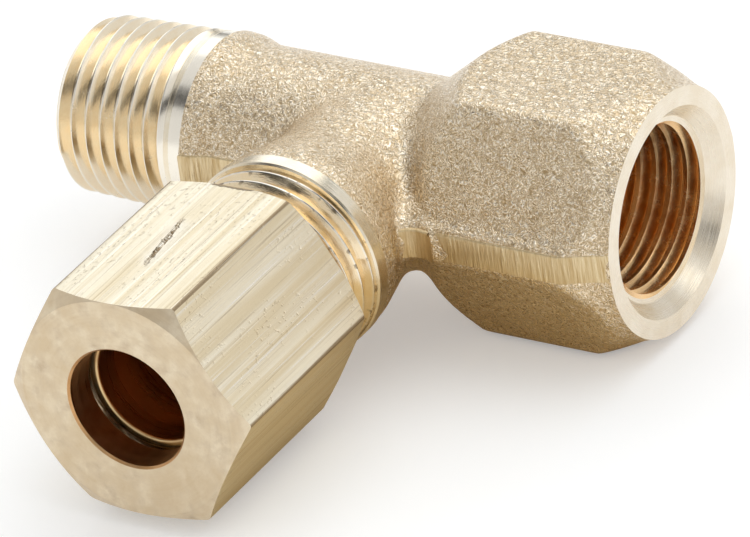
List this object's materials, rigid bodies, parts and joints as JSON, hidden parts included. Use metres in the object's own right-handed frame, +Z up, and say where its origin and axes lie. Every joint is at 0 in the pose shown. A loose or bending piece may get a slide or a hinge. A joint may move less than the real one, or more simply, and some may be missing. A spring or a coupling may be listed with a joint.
{
  "type": "compression run tee fitting",
  "caption": "Brass run tee: tapered male pipe end, hexagonal female pipe end and a side branch with a compression nut and sleeve for tube.",
  "frame": {"origin": "where the axis of the run crosses the axis of the branch", "axes": "+X along the run toward the hexagonal female end, -Y along the branch toward the nut, +Z up, square to the forging's parting plane"},
  "size_m": [0.0361, 0.035, 0.0142],
  "materials": {
    "forged_brass": "blasted forging with bright turned bands",
    "drawn_brass": "satin drawn bar with turned ends",
    "sleeve_brass": "bright turned"
  },
  "bodies": {
    "tee": {"tee_body": "forged_brass"},
    "sleeve": {"ferrule": "sleeve_brass"},
    "nut": {"compression_nut": "drawn_brass"}
  },
  "joints": [
    {"name": "sleeve_travel", "type": "slide", "parent": "tee", "child": "sleeve", "axis": [0, 1, 0], "range_m": [-0.00583, 0.00133]},
    {"name": "nut_spin", "type": "hinge", "parent": "sleeve", "child": "nut", "pos_m": [0, -0.02, 0], "axis": [0, 1, 0], "range_deg": [-1980, 450]}
  ],
  "couplings": [
    {"joint": "sleeve_travel", "follows": "nut_spin", "m_per_rad": 0.00016843}
  ]
}
